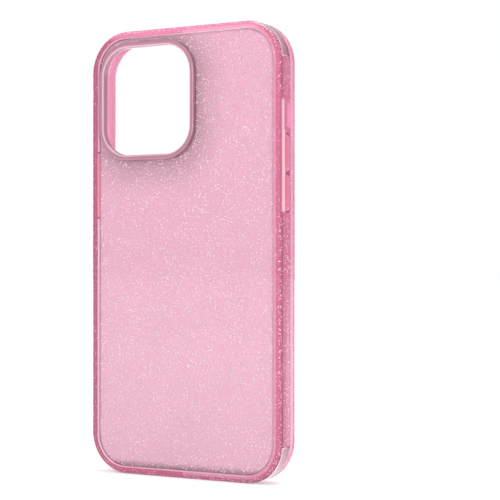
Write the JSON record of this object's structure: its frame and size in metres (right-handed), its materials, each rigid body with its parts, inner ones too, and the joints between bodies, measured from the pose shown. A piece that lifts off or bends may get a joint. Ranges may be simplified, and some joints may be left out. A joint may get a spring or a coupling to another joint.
{
  "type": "phone case",
  "caption": "Slim translucent pink glitter case for a 6.7-inch phone, with a raised camera ring, clear corners and lip, pressing side keys and open ports.",
  "frame": {"origin": "middle of the bottom edge, on the surface that the upright case stands on", "axes": "+X towards the volume keys, +Y towards the screen opening, +Z along the length towards the camera end"},
  "size_m": [0.0824, 0.0122, 0.166],
  "materials": {
    "glitter_bumper": "glossy translucent pink with fine pale glitter",
    "clear_trim": "clear, faintly pink, polished",
    "clear_back": "clear pink, polished",
    "glitter_layer": "milky pink, full of fine pale glitter",
    "soft_liner": "satin, with a fine raised dot pattern",
    "smooth_bezel": "smooth translucent pink, no glitter, polished",
    "key_cap": "glossy translucent pink"
  },
  "bodies": {
    "shell": {"bumper_frame": "glitter_bumper", "screen_lip": "clear_trim", "back_plate": "clear_back", "glitter_sheet": "glitter_layer", "inner_liner": "soft_liner", "camera_bezel": "smooth_bezel", "corner_cushion_top_right": "clear_trim", "corner_cushion_top_left": "clear_trim", "corner_cushion_bottom_right": "clear_trim", "corner_cushion_bottom_left": "clear_trim"},
    "volume_up": {"volume_up_key": "key_cap"},
    "volume_down": {"volume_down_key": "key_cap"},
    "power": {"power_key": "key_cap"}
  },
  "joints": [
    {"name": "volume_up_press", "type": "slide", "parent": "shell", "child": "volume_up", "axis": [-1, 0, 0], "range_m": [0, 0.0004], "stiffness_N_per_m": 900},
    {"name": "volume_down_press", "type": "slide", "parent": "shell", "child": "volume_down", "axis": [-1, 0, 0], "range_m": [0, 0.0004], "stiffness_N_per_m": 900},
    {"name": "power_press", "type": "slide", "parent": "shell", "child": "power", "axis": [1, 0, 0], "range_m": [0, 0.0004], "stiffness_N_per_m": 900}
  ]
}
